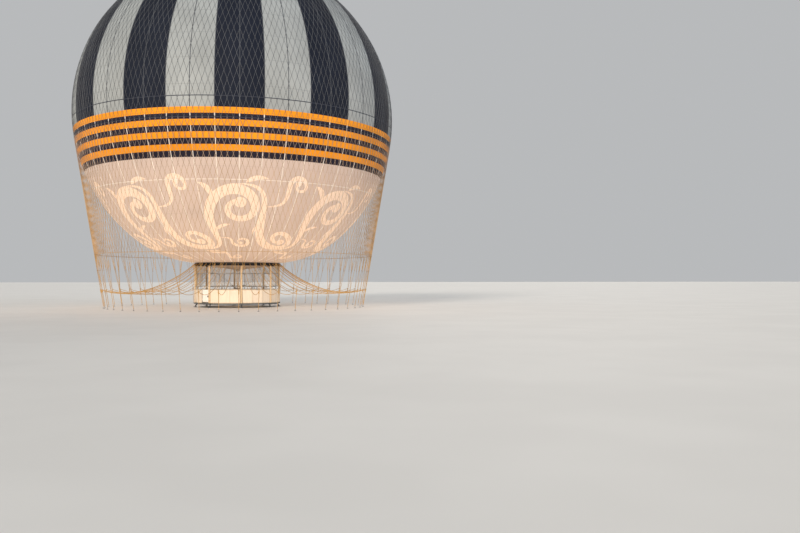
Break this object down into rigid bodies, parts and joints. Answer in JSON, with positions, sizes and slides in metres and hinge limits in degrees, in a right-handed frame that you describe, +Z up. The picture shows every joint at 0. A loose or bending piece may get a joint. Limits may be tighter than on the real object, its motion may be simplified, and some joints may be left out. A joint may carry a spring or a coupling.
{
  "type": "captive helium sightseeing balloon with ring gondola",
  "caption": "Tethered spherical gas balloon with striped envelope, rope net and net curtain, load ring and a round open passenger gondola on short feet.",
  "frame": {"origin": "centre of the spherical envelope, in the air that holds it up", "axes": "+Z up along the balloon's axis, -Y towards the side that the picture shows, +X to its right"},
  "size_m": [22.4994, 22.4994, 25.0155],
  "materials": {
    "navy_fabric": "coated balloon fabric, dark navy, matt sheen",
    "pale_fabric": "coated balloon fabric, pale grey, matt sheen",
    "gold_fabric": "coated balloon fabric, gold, matt sheen",
    "dome_fabric": "coated balloon fabric, warm pale, matt sheen",
    "net_rope": "laid synthetic rope, tan",
    "aluminium": "satin",
    "dark_steel": "satin dark grey paint",
    "rope_sleeve": "woven sleeve over rope, tan",
    "parapet_panel": "satin cream",
    "deck_plate": "anti-slip coated plywood, brown grey"
  },
  "bodies": {
    "root": {"gores_navy": "navy_fabric", "navy_band_1": "navy_fabric", "navy_band_2": "navy_fabric", "navy_band_3": "navy_fabric", "navy_band_4": "navy_fabric", "gores_pale": "pale_fabric", "gold_band_1": "gold_fabric", "gold_band_2": "gold_fabric", "gold_band_3": "gold_fabric", "gold_band_4": "gold_fabric", "lower_dome": "dome_fabric", "net_upper": "net_rope", "net_curtain_1": "net_rope", "net_curtain_2": "net_rope", "net_curtain_3": "net_rope", "net_curtain_4": "net_rope", "net_curtain_5": "net_rope", "net_curtain_6": "net_rope", "net_curtain_7": "net_rope", "net_curtain_8": "net_rope", "mooring_lines": "net_rope", "suspension_lines": "net_rope", "crown_ring": "aluminium", "belly_port": "aluminium", "railing_1": "aluminium", "railing_2": "aluminium", "railing_3": "aluminium", "railing_4": "aluminium", "railing_5": "aluminium", "railing_6": "aluminium", "railing_7": "aluminium", "railing_8": "aluminium", "load_ring": "dark_steel", "bridle": "dark_steel", "swivel_housing": "dark_steel", "chassis": "dark_steel", "suspension_post_1": "rope_sleeve", "suspension_post_2": "rope_sleeve", "suspension_post_3": "rope_sleeve", "suspension_post_4": "rope_sleeve", "suspension_post_5": "rope_sleeve", "suspension_post_6": "rope_sleeve", "suspension_post_7": "rope_sleeve", "suspension_post_8": "rope_sleeve", "parapet_1": "parapet_panel", "parapet_2": "parapet_panel", "parapet_3": "parapet_panel", "parapet_4": "parapet_panel", "parapet_5": "parapet_panel", "parapet_6": "parapet_panel", "parapet_7": "parapet_panel", "parapet_8": "parapet_panel", "inner_guard": "parapet_panel", "deck": "deck_plate"},
    "gate_front": {"gate_front": "parapet_panel"},
    "gate_rear": {"gate_rear": "parapet_panel"},
    "crown_valve": {"crown_valve_lid": "aluminium"},
    "swivel": {"swivel_eye": "dark_steel"}
  },
  "joints": [
    {"name": "gate_front_hinge", "type": "hinge", "parent": "root", "child": "gate_front", "pos_m": [-2.42692, -1.75316, -12.7], "axis": [0, 0, 1], "range_deg": [0, 90]},
    {"name": "gate_rear_hinge", "type": "hinge", "parent": "root", "child": "gate_rear", "pos_m": [2.42692, 1.75316, -12.7], "axis": [0, 0, 1], "range_deg": [0, 90]},
    {"name": "crown_valve_slide", "type": "slide", "parent": "root", "child": "crown_valve", "axis": [0, 0, -1], "range_m": [0, 0.1], "stiffness_N_per_m": 4000, "springref_m": -0.05},
    {"name": "swivel_turn", "type": "hinge", "parent": "root", "child": "swivel", "pos_m": [0, 0, -12.62], "axis": [0, 0, 1], "continuous": true}
  ]
}
